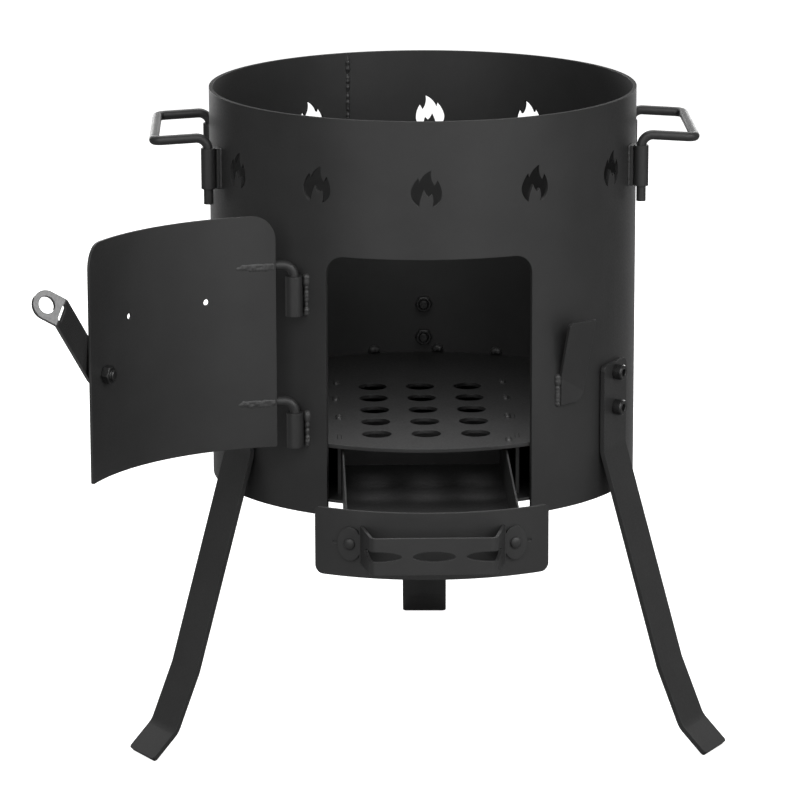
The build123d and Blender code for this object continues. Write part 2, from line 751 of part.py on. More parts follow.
# Carry handle sockets: two tubes on each side, held off the drum by flat pads
tube_top = rim_z - carry_tube_drop
socket_radius = (carry_socket_x**2 + carry_socket_y**2) ** 0.5
socket_turn = 90 - degrees(atan(carry_socket_y / carry_socket_x))
pad_depth = socket_radius - carry_tube_diameter / 2 - outer_radius - 2 * socket_pad_seat
for side, side_name in ((-1, "left"), (1, "right")):
    turns = (side * socket_turn, side * (180 - socket_turn))
    with BuildPart() as sockets:
        with BuildSketch(Plane.XY.offset(tube_top)):
            with Locations(*[(side * carry_socket_x, y) for y in (-carry_socket_y, carry_socket_y)]):
                Circle(carry_tube_diameter / 2)
                Circle(carry_rod_diameter / 2 + carry_running_gap, mode=Mode.SUBTRACT)
        extrude(amount=-carry_tube_length)
    save(sockets.part, f"handle_sockets_{side_name}")
    with BuildPart() as socket_pads:
        for turn in turns:
            pad_z = tube_top - carry_tube_length / 2
            with BuildSketch(wall_plane(turn, outer_radius + socket_pad_seat, pad_z)):
                Rectangle(socket_pad_width, carry_tube_length)
            extrude(amount=pad_depth)
    save(socket_pads.part, f"socket_pads_{side_name}")


# Carry handles: two pins, two arms that droop a little and a crossbar
for side, side_name in ((-1, "left"), (1, "right")):
    pin_x = side * carry_socket_x
    bar_x = side * (carry_socket_x + carry_reach)
    pin_z = tube_top - carry_tube_length - carry_pin_below
    arm_z = rim_z - carry_arm_drop
    bar_z = arm_z - carry_reach * sin(radians(carry_droop)) / cos(radians(carry_droop))
    corners = [
        (pin_x, -carry_socket_y, pin_z),
        (pin_x, -carry_socket_y, arm_z),
        (bar_x, -carry_socket_y, bar_z),
        (bar_x, carry_socket_y, bar_z),
        (pin_x, carry_socket_y, arm_z),
        (pin_x, carry_socket_y, pin_z),
    ]
    bends = [carry_pin_bend, carry_corner_bend, carry_corner_bend, carry_pin_bend]
    with BuildLine() as carry_path:
        FilletPolyline(*corners, radius=bends)
    save(bent_rod(carry_path.wire(), carry_rod_diameter), f"carry_handle_{side_name}")
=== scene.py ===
"""Cauldron stove: materials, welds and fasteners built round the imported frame.

The stove is rolled and bent mild steel under a matt heat-resistant coat. The frame brings every
sheet, bar and rod; this script dresses them, adds the welds that join them and swaps the plain
fasteners for threaded ones. Positions are metres in the frame's own axes: +Z up, doorway at -Y.
"""

from __future__ import annotations

import logging
import math
from dataclasses import dataclass, field
from enum import Enum
from collections.abc import Callable, Sequence
from typing import Any

import bmesh
import bpy
from mathutils import Matrix, Quaternion, Vector

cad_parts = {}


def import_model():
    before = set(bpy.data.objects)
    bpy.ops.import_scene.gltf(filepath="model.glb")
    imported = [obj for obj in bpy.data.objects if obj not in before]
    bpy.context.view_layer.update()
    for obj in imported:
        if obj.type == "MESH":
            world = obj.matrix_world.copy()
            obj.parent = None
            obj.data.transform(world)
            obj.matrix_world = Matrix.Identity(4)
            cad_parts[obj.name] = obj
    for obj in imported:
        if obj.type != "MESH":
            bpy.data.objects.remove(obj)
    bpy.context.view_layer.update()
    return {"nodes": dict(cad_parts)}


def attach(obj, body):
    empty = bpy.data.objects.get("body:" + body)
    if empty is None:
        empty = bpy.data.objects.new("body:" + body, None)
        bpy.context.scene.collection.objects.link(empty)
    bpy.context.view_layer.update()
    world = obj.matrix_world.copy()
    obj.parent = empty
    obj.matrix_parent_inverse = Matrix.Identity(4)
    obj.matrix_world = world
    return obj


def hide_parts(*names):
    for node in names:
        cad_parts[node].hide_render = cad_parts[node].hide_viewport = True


log = logging.getLogger("cauldron_stove")

MM = 0.001
CRISP_EDGE = math.radians(22)
Radius = float | Callable[[float], float]


class Body(Enum):
    """The rigid bodies that welds and fasteners ride on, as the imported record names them."""

    STOVE = "stove"
    DOOR = "door"
    DRAWER = "drawer"


class Slot(Enum):
    """The record's material slots."""

    PAINT = "heat_paint"
    FASTENER = "black_oxide_steel"


def linear(hex_colour: str) -> tuple[float, float, float, float]:
    """Turns an sRGB hex colour into linear RGBA.

    Args:
        hex_colour: Six hex digits after a hash sign.

    Returns:
        Linear red, green, blue and an alpha of 1.
    """
    channels = [int(hex_colour[i : i + 2], 16) / 255 for i in (1, 3, 5)]
    red, green, blue = (
        c / 12.92 if c <= 0.04045 else ((c + 0.055) / 1.055) ** 2.4 for c in channels
    )
    return red, green, blue, 1.0


def add_node(
    tree: bpy.types.NodeTree,
    kind: str,
    values: dict[str | int, Any] | None = None,
    links: dict[str | int, bpy.types.NodeSocket] | None = None,
    **settings: Any,
) -> bpy.types.Node:
    """Adds a node with its settings, input values and incoming links.

    Args:
        tree: The tree that gets the node.
        kind: The node's type.
        values: Input values by socket name or index.
        links: Output sockets to link in, by input name or index.
        **settings: Attributes of the node itself.

    Returns:
        The new node.
    """
    node = tree.nodes.new(kind)
    for name, value in settings.items():
        setattr(node, name, value)
    for name, value in (values or {}).items():
        node.inputs[name].default_value = value
    for name, socket in (links or {}).items():
        tree.links.new(socket, node.inputs[name])
    return node


@dataclass(frozen=True)
class CoatedSteel:
    """A sprayed finish on steel, paler along its edges, partly where the coat is thin and partly
    as a painted highlight.

    Args:
        name: The material's name.
        coat: Colour of the coat, as sRGB hex.
        coat_pale: Colour of the coat where it lies thicker.
        edge: Colour that shows along edges, standing partly for thin coat and partly for a painted
            highlight.
        roughness: Mean roughness of the coat.
        metallic: How metallic the coat is.
        peel_mm: Size of the spray's orange peel.
        peel_depth_mm: Height of the orange peel.
        cloud_mm: Size of the soft colour clouds.
        edge_radius_mm: How far the paler edge reaches.
        edge_wear_and_highlight_share: How much of the paler edge colour shows.
        cut: Painted shade colour for faces cut through a rolled wall, as sRGB hex, or none for no
            such faces.
        cut_roughness: Roughness of those faces.
    """

    name: str
    coat: str
    coat_pale: str
    edge: str
    roughness: float
    metallic: float = 0.0
    peel_mm: float = 1.6
    peel_depth_mm: float = 0.03
    cloud_mm: float = 60.0
    edge_radius_mm: float = 0.8
    edge_wear_and_highlight_share: float = 0.35
    cut: str | None = None
    cut_roughness: float = 0.95

    def material(self) -> bpy.types.Material:
        """Builds the node tree.

        Returns:
            The material, ready to assign.
        """
        made = bpy.data.materials.new(self.name)
        made.use_nodes = True
        tree = made.node_tree
        tree.nodes.clear()
        place = add_node(tree, "ShaderNodeTexCoord").outputs["Object"]
        clouds = add_node(
            tree,
            "ShaderNodeTexNoise",
            {"Scale": 1 / (self.cloud_mm * MM), "Detail": 4.0, "Roughness": 0.6},
            {"Vector": place},
        )
        grit = add_node(
            tree,
            "ShaderNodeTexNoise",
            {"Scale": 1 / (self.peel_mm * MM), "Detail": 2.0},
            {"Vector": place},
        )
        coat = add_node(
            tree,
            "ShaderNodeMix",
            {6: linear(self.coat), 7: linear(self.coat_pale)},
            data_type="RGBA",
        )
        cloud_share = add_node(
            tree,
            "ShaderNodeMapRange",
            {"From Min": 0.35, "From Max": 0.65},
            {"Value": clouds.outputs["Fac"]},
        )
        tree.links.new(cloud_share.outputs["Result"], coat.inputs[0])
        rounded = add_node(
            tree, "ShaderNodeBevel", {"Radius": self.edge_radius_mm * MM}, samples=4
        )
        flat = add_node(tree, "ShaderNodeNewGeometry")
        facing = add_node(
            tree,
            "ShaderNodeVectorMath",
            links={0: rounded.outputs["Normal"], 1: flat.outputs["Normal"]},
            operation="DOT_PRODUCT",
        )
        # Paler edges, partly thin coat and partly painted highlight, where the rounded normal
        # turns away from the flat one.
        edge_wear_and_highlight_share = add_node(
            tree,
            "ShaderNodeMapRange",
            {"From Min": 0.985, "From Max": 0.86, "To Max": self.edge_wear_and_highlight_share},
            {"Value": facing.outputs["Value"]},
        )
        colour = add_node(
            tree,
            "ShaderNodeMix",
            {7: linear(self.edge)},
            {0: edge_wear_and_highlight_share.outputs["Result"], 6: coat.outputs[2]},
            data_type="RGBA",
        )
        gloss = add_node(
            tree,
            "ShaderNodeMapRange",
            {
                "From Min": 0.3,
                "From Max": 0.7,
                "To Min": self.roughness - 0.05,
                "To Max": self.roughness + 0.05,
            },
            {"Value": grit.outputs["Fac"]},
        )
        bump = add_node(
            tree,
            "ShaderNodeBump",
            {"Strength": 1.0, "Distance": self.peel_depth_mm * MM},
            {"Height": grit.outputs["Fac"], "Normal": rounded.outputs["Normal"]},
        )
        shader = add_node(
            tree,
            "ShaderNodeBsdfPrincipled",
            {"Metallic": self.metallic},
            {
                "Base Color": colour.outputs[2],
                "Roughness": gloss.outputs["Result"],
                "Normal": bump.outputs["Normal"],
            },
        )
        if self.cut is not None:
            self.paint_shade_on_cut_faces(tree, shader)
        add_node(tree, "ShaderNodeOutputMaterial", links={"Surface": shader.outputs["BSDF"]})
        return made

    def paint_shade_on_cut_faces(self, tree: bpy.types.NodeTree, shader: bpy.types.Node) -> None:
        """Darkens the faces cut through a wall rolled round the +Z axis as painted shade, and
        roughens them.

        Args:
            tree: The material's tree.
            shader: Its shader, with colour and roughness already linked.
        """
        place = add_node(tree, "ShaderNodeTexCoord").outputs["Object"]
        outward = add_node(
            tree,
            "ShaderNodeVectorMath",
            {1: (1.0, 1.0, 0.0)},
            {0: place},
            operation="MULTIPLY",
        )
        radial = add_node(
            tree, "ShaderNodeVectorMath", links={0: outward.outputs[0]}, operation="NORMALIZE"
        )
        facing = add_node(
            tree,
            "ShaderNodeVectorMath",
            links={
                0: radial.outputs[0],
                1: add_node(tree, "ShaderNodeNewGeometry").outputs["True Normal"],
            },
            operation="DOT_PRODUCT",
        )
        either_way = add_node(
            tree, "ShaderNodeMath", links={0: facing.outputs["Value"]}, operation="ABSOLUTE"
        )
        # The wall's own faces look straight out or in and get no painted shade, those across it
        # get all.
        share = add_node(
            tree,
            "ShaderNodeMapRange",
            {"From Min": 0.8, "From Max": 0.5},
            {"Value": either_way.outputs[0]},
        ).outputs["Result"]
        # Painted shade: the cut faces' colour is mixed towards the darker cut colour.
        colour = add_node(
            tree,
            "ShaderNodeMix",
            {7: linear(self.cut)},
            {0: share, 6: shader.inputs["Base Color"].links[0].from_socket},
            data_type="RGBA",
        )
        rough = add_node(
            tree,
            "ShaderNodeMix",
            {3: self.cut_roughness},
            {0: share, 2: shader.inputs["Roughness"].links[0].from_socket},
        )
        tree.links.new(colour.outputs[2], shader.inputs["Base Color"])
        tree.links.new(rough.outputs[0], shader.inputs["Roughness"])


@dataclass(frozen=True)
class PaleFloor:
    """A white studio floor that stays white to the camera and keeps a faint shadow.

    Args:
        name: The material's name.
        bounce: Colour that bounces light on to the stove, as sRGB hex.
        seen: Colour of the lit share that the camera sees, as sRGB hex.
        glow: Share of white that the camera sees whatever the light.
    """

    name: str = "white_studio_floor"
    bounce: str = "#8c8c8c"
    seen: str = "#d0d0d0"
    glow: float = 0.9

    def material(self) -> bpy.types.Material:
        """Builds the node tree.

        Returns:
            The material, ready to assign.
        """
        made = bpy.data.materials.new(self.name)
        made.use_nodes = True
        tree = made.node_tree
        tree.nodes.clear()
        lit = add_node(tree, "ShaderNodeBsdfDiffuse", {"Color": linear(self.bounce)})
        shaded = add_node(tree, "ShaderNodeBsdfDiffuse", {"Color": linear(self.seen)})
        glow = add_node(tree, "ShaderNodeEmission", {"Strength": self.glow})
        seen = add_node(
            tree, "ShaderNodeAddShader", links={0: shaded.outputs[0], 1: glow.outputs[0]}
        )
        path = add_node(tree, "ShaderNodeLightPath")
        mixed = add_node(
            tree,
            "ShaderNodeMixShader",
            links={0: path.outputs["Is Camera Ray"], 1: lit.outputs[0], 2: seen.outputs[0]},
        )
        add_node(tree, "ShaderNodeOutputMaterial", links={"Surface": mixed.outputs[0]})
        return made


# Silicone heat-resistant paint, sprayed matt over blasted steel: dead-flat dark grey with a fine
# tooth, a touch paler along its edges, partly where it thins and partly as a painted highlight.
SHEET_PAINT = CoatedSteel(
    name="heat_resistant_paint_matt",
    coat="#2a2a2a",
    coat_pale="#2f2f2f",
    edge="#404040",
    roughness=0.46,
)

# The same paint on the rolled drum, its rim and the faces cut through its wall rougher and painted
# darker as painted shade.
DRUM_PAINT = CoatedSteel(
    name="heat_resistant_paint_shade_painted_on_cut_faces",
    coat="#2a2a2a",
    coat_pale="#2f2f2f",
    edge="#383838",
    roughness=0.46,
    cut="#1e1e1e",
)

# The same paint where hands and pokers have rubbed it: smoother, so it mirrors the lamps.
# Its coat is a touch paler than the sheet's, partly worn paint and partly a painted highlight.
HANDLED_AND_HIGHLIT_PAINT = CoatedSteel(
    name="heat_resistant_paint_handled_and_highlit",
    coat="#303030",
    coat_pale="#383838",
    edge="#4c4c4c",
    roughness=0.2,
    peel_depth_mm=0.012,
)

# The same paint over weld metal: it pools between the ripples and shines a little more.
# Its coat is painted paler than the sheet's as a painted highlight on the beads.
WELD_PAINT = CoatedSteel(
    name="heat_resistant_paint_on_weld",
    coat="#343434",
    coat_pale="#3e3e3e",
    edge="#505050",
    roughness=0.42,
    peel_mm=0.9,
    cloud_mm=8.0,
    edge_wear_and_highlight_share=0.2,
)

# Black-oxide steel: oiled screws and nuts, near black, their corners painted pale as a painted
# highlight.
BLACK_OXIDE = CoatedSteel(
    name="black_oxide_steel",
    coat="#3c3c3c",
    coat_pale="#484848",
    edge="#a0a0a0",
    roughness=0.3,
    metallic=0.75,
    peel_mm=0.5,
    peel_depth_mm=0.006,
    cloud_mm=6.0,
    edge_radius_mm=0.3,
)


@dataclass(frozen=True)
class Seat:
    """Where one fastener sits.

    Args:
        point: The seat's centre, in metres.
        axis: The direction that the fastener's local +Z takes.
        turn: Turn about that axis in degrees.
    """

    point: Vector
    axis: Vector
    turn: float = 0.0

    def matrix(self) -> Matrix:
        """Finds the transform that puts a fastener on this seat.

        Returns:
            The transform from the fastener's own axes to the scene's.
        """
        upright = self.axis.to_track_quat("Z", "Y").to_matrix().to_4x4()
        spin = Matrix.Rotation(math.radians(self.turn), 4, "Z")
        return Matrix.Translation(self.point) @ upright @ spin


@dataclass(frozen=True)
class WallChart:
    """Places on and round the drum's wall, carried along with a body to its rest pose.

    Args:
        pose: The move from the shut stove to the body's rest pose.
    """

    pose: Matrix = field(default_factory=lambda: Matrix.Identity(4))

    def point(self, azimuth: float, radius: float, height: float) -> Vector:
        """Finds a point by its place round the drum.

        Args:
            azimuth: Degrees from the doorway side, positive to the right.
            radius: Distance from the drum's axis, in millimetres.
            height: Height above the floor, in millimetres.

        Returns:
            The point, in metres.
        """
        turn = math.radians(azimuth)
        reach = Vector((radius * math.sin(turn), -radius * math.cos(turn), height))
        return self.pose @ (reach * MM)

    def arc(
        self, ends: tuple[float, float], radius: float, height: float, stops: int = 9
    ) -> list[Vector]:
        """Finds points along a level arc.

        Args:
            ends: First and last azimuth in degrees.
            radius: Distance from the drum's axis, in millimetres.
            height: Height above the floor, in millimetres.
            stops: How many points to give.

        Returns:
            The points, in metres.
        """
        first, last = ends
        step = (last - first) / (stops - 1)
        return [self.point(first + i * step, radius, height) for i in range(stops)]

    def upright(self, azimuth: float, radius: float, ends: tuple[float, float]) -> list[Vector]:
        """Finds the ends of an upright line.

        Args:
            azimuth: Degrees from the doorway side.
            radius: Distance from the drum's axis, in millimetres.
            ends: Lower and upper height, in millimetres.

        Returns:
            Both end points, in metres.
        """
        return [self.point(azimuth, radius, height) for height in ends]

    def seat(self, azimuth: float, radius: float, height: float, turn: float = 0.0) -> Seat:
        """Finds a seat that faces away from the drum's axis.

        Args:
            azimuth: Degrees from the doorway side.
            radius: Distance from the drum's axis, in millimetres.
            height: Height above the floor, in millimetres.
            turn: Turn of the fastener about its own axis, in degrees.

        Returns:
            The seat.
        """
        spot = self.point(azimuth, radius, height)
        axis = self.point(azimuth, radius + 1, height) - spot
        return Seat(spot, axis.normalized(), turn)


def polar_mesh(
    name: str, rows: Sequence[tuple[Radius, float]], divisions: int, bored: bool = False
) -> bpy.types.Mesh:
    """Builds a turned shape whose radius may change with the angle.

    Args:
        name: The mesh's name.
        rows: Radius and height of each row in millimetres, in order along the outline.
        divisions: Points round each row.
        bored: Whether the outline runs round a bore back to its first row.

    Returns:
        The mesh, upright at the origin, in metres.
    """
    shape = bmesh.new()
    rings: list[list[bmesh.types.BMVert]] = []
    for radius, height in rows:
        if radius == 0:
            rings.append([shape.verts.new((0, 0, height * MM))] * divisions)
            continue
        ring = []
        for step in range(divisions):
            angle = 2 * math.pi * step / divisions
            reach = MM * (radius(angle) if callable(radius) else radius)
            spot = (reach * math.cos(angle), reach * math.sin(angle), height * MM)
            ring.append(shape.verts.new(spot))
        rings.append(ring)
    pairs = list(zip(rings, rings[1:]))
    if bored:
        pairs.append((rings[-1], rings[0]))
    for lower, upper in pairs:
        for step in range(divisions):
            after = (step + 1) % divisions
            face = list(dict.fromkeys([lower[step], lower[after], upper[after], upper[step]]))
            if len(face) > 2:
                shape.faces.new(face)
    bmesh.ops.recalc_face_normals(shape, faces=shape.faces[:])
    mesh = bpy.data.meshes.new(name)
    shape.to_mesh(mesh)
    shape.free()
    return mesh


def hexagon(across_flats: float, limit: float = math.inf) -> Callable[[float], float]:
    """Makes a hexagon's radius as a function of the angle.

    Args:
        across_flats: Width of the hexagon in millimetres.
        limit: Radius at which its corners are cut off, as a chamfer cuts them.

    Returns:
        The radius in millimetres for an angle in radians.
    """

    def reach(angle: float) -> float:
        """Finds the radius at an angle.

        Args:
            angle: The angle in radians.

        Returns:
            The radius in millimetres.
        """
        off = (angle + math.pi / 6) % (math.pi / 3) - math.pi / 6
        return min(across_flats / 2 / math.cos(off), limit)

    return reach


def chamfered_hexagon(
    across_flats: float, height: float, step: float
) -> list[tuple[Radius, float]]:
    """Makes the rows of a hexagon's chamfered end, from its face towards its flats.

    Args:
        across_flats: Width of the hexagon in millimetres.
        height: Height of the end face in millimetres.
        step: Which way the flats lie, 1 for upwards and -1 for downwards.

    Returns:
        Radius and height pairs.
    """
    face = 0.47 * across_flats
    corner = across_flats / math.sqrt(3)
    rows: list[tuple[Radius, float]] = [(face, height)]
    for limit in (0.5 * across_flats, 0.525 * across_flats, 0.55 * across_flats, corner):
        drop = (limit - face) * math.tan(math.radians(30))
        rows.append((hexagon(across_flats, limit), height + step * drop))
    return rows


@dataclass(frozen=True)
class Thread:
    """A visible thread, drawn as grooves round the shank.

    Args:
        diameter: Outside diameter in millimetres.
        pitch: Distance between crests in millimetres.
    """

    diameter: float
    pitch: float

    def rows(self, start: float, end: float) -> list[tuple[Radius, float]]:
        """Rows for the threaded stretch, from one height to the other.

        Args:
            start: Height of the first row in millimetres.
            end: Height of the last row in millimetres.

        Returns:
            Radius and height pairs, crest and root by turns.
        """
        turns = max(1, int(abs(end - start) / self.pitch))
        step = (end - start) / turns
        crest, root = self.diameter / 2, self.diameter / 2 - 0.54 * self.pitch
        made: list[tuple[Radius, float]] = []
        for turn in range(turns):
            low = start + turn * step
            made += [(crest, low), (root, low + 0.5 * step)]
        made.append((crest, end))
        return made


@dataclass(frozen=True)
class MachineScrew:
    """A screw with a turned head and a threaded shank, its seat at height 0.

    Args:
        thread: Its thread.
        length: Length of the shank in millimetres.
        bare: Length at the shank's tip that shows its thread.
        head: Rows of the head, from the edge of the seat to the middle of the top.
        divisions: Points round each row.
    """

    thread: Thread
    length: float
    bare: float
    head: Sequence[tuple[Radius, float]]
    divisions: int

    def mesh(self, name: str) -> bpy.types.Mesh:
        """Builds the screw.

        Args:
            name: The mesh's name.

        Returns:
            The mesh, upright at the origin.
        """
        shank = self.thread.diameter / 2
        tip = self.length - 0.5 * self.thread.pitch
        rows: list[tuple[Radius, float]] = [(0, -self.length), (0.8 * shank, -self.length)]
        rows += self.thread.rows(-tip, -self.length + self.bare)
        rows += [(shank, 0), *self.head]
        return polar_mesh(name, rows, self.divisions)


@dataclass(frozen=True)
class HexNut:
    """A hexagon nut, chamfered on both faces, that stands up from height 0.

    Args:
        width: Width across flats in millimetres.
        height: Thickness in millimetres.
        bore: Diameter of its bore in millimetres.
        divisions: Points round each row.
    """

    width: float
    height: float
    bore: float
    divisions: int = 48

    def mesh(self, name: str) -> bpy.types.Mesh:
        """Builds the nut.

        Args:
            name: The mesh's name.

        Returns:
            The mesh, upright at the origin.
        """
        bore, lead = self.bore / 2, 0.08 * self.bore
        low = chamfered_hexagon(self.width, 0.0, 1.0)
        high = chamfered_hexagon(self.width, self.height, -1.0)
        rows = [(bore, lead), (bore + lead, 0.0), *low]
        rows += [*reversed(high), (bore + lead, self.height), (bore, self.height - lead)]
        return polar_mesh(name, rows, self.divisions, bored=True)


# Metric coarse threads and their nuts, each bore a little wider than its screw.
M5 = Thread(diameter=5.0, pitch=0.8)
M8 = Thread(diameter=8.0, pitch=1.25)
M5_NUT = HexNut(width=8.0, height=4.0, bore=5.1)
M8_NUT = HexNut(width=13.0, height=6.5, bore=8.1)


def plain_mesh(obj: bpy.types.Object) -> bpy.types.Object:
    """Bakes an object's modifiers into its mesh and removes them.

    Args:
        obj: The object to bake.

    Returns:
        The same object with a plain mesh.
    """
    graph = bpy.context.evaluated_depsgraph_get()
    graph.update()
    baked = bpy.data.meshes.new_from_object(obj.evaluated_get(graph))
    obj.modifiers.clear()
    old = obj.data
    obj.data = baked
    bpy.data.meshes.remove(old)
    return obj


def group_input(
    tree: bpy.types.GeometryNodeTree, name: str, kind: str, value: Any = None
) -> str:
    """Adds a named input to a Geometry Nodes tree.

    Args:
        tree: The tree.
        name: The input's name.
        kind: The socket's type.
        value: Its default, where it has one.

    Returns:
        The socket's identifier.
    """
    socket = tree.interface.new_socket(name, in_out="INPUT", socket_type=kind)
    if value is not None:
        socket.default_value = value
    return socket.identifier


@dataclass
class SeatedCopies:
    """Geometry Nodes that set one master shape on many seats.

    Args:
        name: The piece's name.
        master: The shape, upright at the origin.
        seats: Where the copies go.
        material: What they are made of.
    """

    name: str
    master: bpy.types.Mesh
    seats: Sequence[Seat]
    material: bpy.types.Material

    def build(self) -> bpy.types.Object:
        """Instances the master on the seats and returns one plain mesh.

        Returns:
            The object, linked to the scene.
        """
        points = bpy.data.meshes.new(f"{self.name}_seats")
        points.from_pydata([tuple(s.point) for s in self.seats], [], [])
        turn = points.attributes.new("seat_turn", "FLOAT_VECTOR", "POINT")
        for index, seat in enumerate(self.seats):
            turn.data[index].vector = seat.matrix().to_euler("XYZ")
        holder = bpy.data.objects.new(f"{self.name}_master", self.master)
        obj = bpy.data.objects.new(self.name, points)
        bpy.context.scene.collection.objects.link(obj)
        bpy.context.scene.collection.objects.link(holder)
        tree = bpy.data.node_groups.new("seated_copies", "GeometryNodeTree")
        group_input(tree, "Geometry", "NodeSocketGeometry")
        master_id = group_input(tree, "Master", "NodeSocketObject")
        finish_id = group_input(tree, "Finish", "NodeSocketMaterial")
        tree.interface.new_socket("Geometry", in_out="OUTPUT", socket_type="NodeSocketGeometry")
        start = add_node(tree, "NodeGroupInput")
        shape = add_node(
            tree, "GeometryNodeObjectInfo", links={"Object": start.outputs["Master"]}
        )
        turned = add_node(
            tree,
            "GeometryNodeInputNamedAttribute",
            {"Name": "seat_turn"},
            data_type="FLOAT_VECTOR",
        )
        copies = add_node(
            tree,
            "GeometryNodeInstanceOnPoints",
            links={
                "Points": start.outputs["Geometry"],
                "Instance": shape.outputs["Geometry"],
                "Rotation": turned.outputs["Attribute"],
            },
        )
        real = add_node(
            tree, "GeometryNodeRealizeInstances", links={"Geometry": copies.outputs["Instances"]}
        )
        dressed = add_node(
            tree,
            "GeometryNodeSetMaterial",
            links={"Geometry": real.outputs["Geometry"], "Material": start.outputs["Finish"]},
        )
        add_node(tree, "NodeGroupOutput", links={"Geometry": dressed.outputs["Geometry"]})
        modifier = obj.modifiers.new("copies", "NODES")
        modifier.node_group = tree
        modifier[master_id] = holder
        modifier[finish_id] = self.material
        plain_mesh(obj)
        bpy.data.objects.remove(holder)
        obj.data.shade_smooth()
        obj.data.set_sharp_from_angle(angle=CRISP_EDGE)
        return obj


@dataclass
class WeldBead:
    """One run of weld metal: ripples laid along a line, fused and painted over.

    Args:
        points: The line that the bead follows, in metres.
        radius: Radius of the ripples in millimetres.
        spacing: Distance between ripples in millimetres.
        rough: How much the ripples differ in size, from 0 to 1.
    """

    points: Sequence[Vector]
    radius: float
    spacing: float = 1.4
    rough: float = 0.25


@dataclass
class WeldRun:
    """Several beads made into one piece by Geometry Nodes.

    Args:
        name: The piece's name.
        beads: The beads in it.
        material: The paint over them.
        seed: Seed for the ripples' sizes.
        voxel: Size of the voxels that fuse the ripples, in millimetres.
        eased: How many times the fused metal is smoothed.
    """

    name: str
    beads: Sequence[WeldBead]
    material: bpy.types.Material
    seed: int
    voxel: float = 0.45
    eased: int = 10

    def ripple_tree(self) -> tuple[bpy.types.GeometryNodeTree, dict[str, str]]:
        """Builds the tree that lays ripples along a line.

        Returns:
            The tree and its inputs' identifiers by name.
        """
        tree = bpy.data.node_groups.new("weld_ripples", "GeometryNodeTree")
        group_input(tree, "Geometry", "NodeSocketGeometry")
        ids = {
            name: group_input(tree, name, kind, value)
            for name, kind, value in (
                ("Spacing", "NodeSocketFloat", 0.001),
                ("Radius", "NodeSocketFloat", 0.002),
                ("Rough", "NodeSocketFloat", 0.2),
                ("Seed", "NodeSocketInt", 0),
                ("Finish", "NodeSocketMaterial", None),
            )
        }
        tree.interface.new_socket("Geometry", in_out="OUTPUT", socket_type="NodeSocketGeometry")
        start = add_node(tree, "NodeGroupInput")
        line = add_node(tree, "GeometryNodeMeshToCurve", links={"Mesh": start.outputs["Geometry"]})
        stops = add_node(
            tree,
            "GeometryNodeResampleCurve",
            links={"Curve": line.outputs["Curve"], "Length": start.outputs["Spacing"]},
            mode="LENGTH",
        )
        smallest = add_node(
            tree, "ShaderNodeMath", {0: 1.0}, {1: start.outputs["Rough"]}, operation="SUBTRACT"
        )
        largest = add_node(
            tree, "ShaderNodeMath", {0: 1.0}, {1: start.outputs["Rough"]}, operation="ADD"
        )
        size = add_node(
            tree,
            "FunctionNodeRandomValue",
            links={
                2: smallest.outputs[0],
                3: largest.outputs[0],
                "Seed": start.outputs["Seed"],
            },
            data_type="FLOAT",
        )
        ripple = add_node(
            tree,
            "GeometryNodeMeshIcoSphere",
            {"Subdivisions": 2},
            {"Radius": start.outputs["Radius"]},
        )
        laid = add_node(
            tree,
            "GeometryNodeInstanceOnPoints",
            links={
                "Points": stops.outputs["Curve"],
                "Instance": ripple.outputs["Mesh"],
                "Scale": size.outputs[1],
            },
        )
        real = add_node(
            tree, "GeometryNodeRealizeInstances", links={"Geometry": laid.outputs["Instances"]}
        )
        dressed = add_node(
            tree,
            "GeometryNodeSetMaterial",
            links={"Geometry": real.outputs["Geometry"], "Material": start.outputs["Finish"]},
        )
        add_node(tree, "NodeGroupOutput", links={"Geometry": dressed.outputs["Geometry"]})
        return tree, ids

    def build(self) -> bpy.types.Object:
        """Lays every bead, fuses the ripples and returns one plain mesh.

        Returns:
            The object, linked to the scene.
        """
        tree, ids = self.ripple_tree()
        shape = bmesh.new()
        for index, bead in enumerate(self.beads):
            edges = [(i, i + 1) for i in range(len(bead.points) - 1)]
            line = bpy.data.meshes.new("weld_line")
            line.from_pydata([tuple(p) for p in bead.points], edges, [])
            part = bpy.data.objects.new("weld_part", line)
            bpy.context.scene.collection.objects.link(part)
            modifier = part.modifiers.new("ripples", "NODES")
            modifier.node_group = tree
            modifier[ids["Spacing"]] = bead.spacing * MM
            modifier[ids["Radius"]] = bead.radius * MM
            modifier[ids["Rough"]] = bead.rough
            modifier[ids["Seed"]] = self.seed + index
            modifier[ids["Finish"]] = self.material
            plain_mesh(part)
            shape.from_mesh(part.data)
            bpy.data.objects.remove(part)
        mesh = bpy.data.meshes.new(self.name)
        shape.to_mesh(mesh)
        shape.free()
        obj = bpy.data.objects.new(self.name, mesh)
        bpy.context.scene.collection.objects.link(obj)
        fuse = obj.modifiers.new("fuse", "REMESH")
        fuse.mode = "VOXEL"
        fuse.voxel_size = self.voxel * MM
        ease = obj.modifiers.new("ease", "SMOOTH")
        ease.factor = 0.5
        ease.iterations = self.eased
        plain_mesh(obj)
        obj.data.materials.clear()
        obj.data.materials.append(self.material)
        obj.data.shade_smooth()
        return obj


def place(obj: bpy.types.Object, body: Body, slot: Slot, *replaced: str) -> None:
    """Rides a piece on its body and reports it.

    Args:
        obj: The piece.
        body: The body that it moves with.
        slot: The record's material slot; not used.
        *replaced: Frame nodes that the piece stands for.
    """
    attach(obj, body.value)
    if replaced:
        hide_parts(*replaced)
    log.info("%s: %d faces on %s", obj.name, len(obj.data.polygons), body.value)


